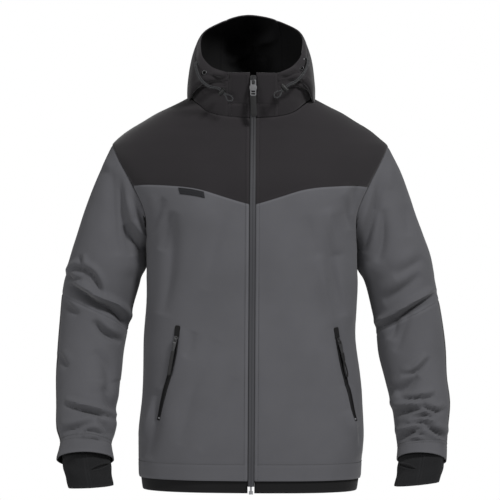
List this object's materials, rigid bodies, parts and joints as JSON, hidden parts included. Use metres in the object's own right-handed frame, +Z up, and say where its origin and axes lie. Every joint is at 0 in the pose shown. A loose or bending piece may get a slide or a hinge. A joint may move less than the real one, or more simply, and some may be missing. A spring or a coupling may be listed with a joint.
{
  "type": "hooded softshell jacket",
  "caption": "Hooded softshell jacket with a front zip, slanted zip pockets, knit storm cuffs and a drawcord hood, hollow and shaped as worn.",
  "frame": {"origin": "middle of the neck at the height of the shoulder seams, where the wearer's shoulders carry the jacket", "axes": "+Z up, -Y out of the front, +X towards the wearer's left"},
  "size_m": [0.7452, 0.2587, 0.9024],
  "materials": {
    "softshell_grey": "matt bonded softshell, fine rib",
    "softshell_charcoal": "matt bonded softshell, dark",
    "knit_black": "stretch knit",
    "elastic_black": "matt elastic band",
    "label_black": "plain woven tag",
    "zip_tape": "satin film on woven tape",
    "metal_dark": "gunmetal, semi gloss",
    "metal_pale": "bright",
    "moulded_black": "matt moulded",
    "cord_black": "round braid"
  },
  "bodies": {
    "shell": {"front_left": "softshell_grey", "front_yoke_left": "softshell_charcoal", "sleeve_upper_left": "softshell_grey", "forearm_front_left": "softshell_grey", "forearm_back_left": "softshell_charcoal", "cuff_outer_left": "knit_black", "cuff_thumb_left": "knit_black", "collar_front_left": "softshell_charcoal", "chin_guard_left": "softshell_charcoal", "front_right": "softshell_grey", "front_yoke_right": "softshell_charcoal", "sleeve_upper_right": "softshell_grey", "forearm_front_right": "softshell_grey", "forearm_back_right": "softshell_charcoal", "cuff_outer_right": "knit_black", "cuff_thumb_right": "knit_black", "collar_front_right": "softshell_charcoal", "chin_guard_right": "softshell_charcoal", "back": "softshell_grey", "back_yoke": "softshell_charcoal", "hem_band": "elastic_black", "collar_stand": "softshell_charcoal", "hood_side_left": "softshell_charcoal", "hood_centre": "softshell_charcoal", "hood_side_right": "softshell_charcoal", "label": "label_black", "front_zip": "zip_tape", "front_zip_box": "metal_pale", "front_zip_slider": "metal_dark", "pocket_zip_left": "zip_tape", "pocket_garage_left": "softshell_charcoal", "pocket_slider_left": "metal_dark", "eyelet_upper_left": "metal_dark", "eyelet_lower_left": "metal_dark", "cord_left": "cord_black", "cord_lock_left": "moulded_black", "pocket_zip_right": "zip_tape", "pocket_garage_right": "softshell_charcoal", "pocket_slider_right": "metal_dark", "eyelet_upper_right": "metal_dark", "eyelet_lower_right": "metal_dark", "cord_right": "cord_black", "cord_lock_right": "moulded_black"},
    "front_zip_pull": {"front_zip_link": "metal_dark", "front_zip_tab": "moulded_black"},
    "pocket_pull_left": {"pocket_link_left": "metal_dark", "pocket_tab_left": "moulded_black"},
    "pocket_pull_right": {"pocket_link_right": "metal_dark", "pocket_tab_right": "moulded_black"}
  },
  "joints": [
    {"name": "front_zip_pull_hinge", "type": "hinge", "parent": "shell", "child": "front_zip_pull", "pos_m": [0.00007, -0.09323, 0.02706], "axis": [-0.9989, -0.0474, 0], "range_deg": [-6, 150]},
    {"name": "pocket_pull_left_hinge", "type": "hinge", "parent": "shell", "child": "pocket_pull_left", "pos_m": [0.16453, -0.0853, -0.45917], "axis": [-0.754, -0.6246, -0.2036], "range_deg": [0, 150]},
    {"name": "pocket_pull_right_hinge", "type": "hinge", "parent": "shell", "child": "pocket_pull_right", "pos_m": [-0.1426, -0.1023, -0.4568], "axis": [-0.8928, 0.4136, 0.1786], "range_deg": [0, 150]}
  ]
}
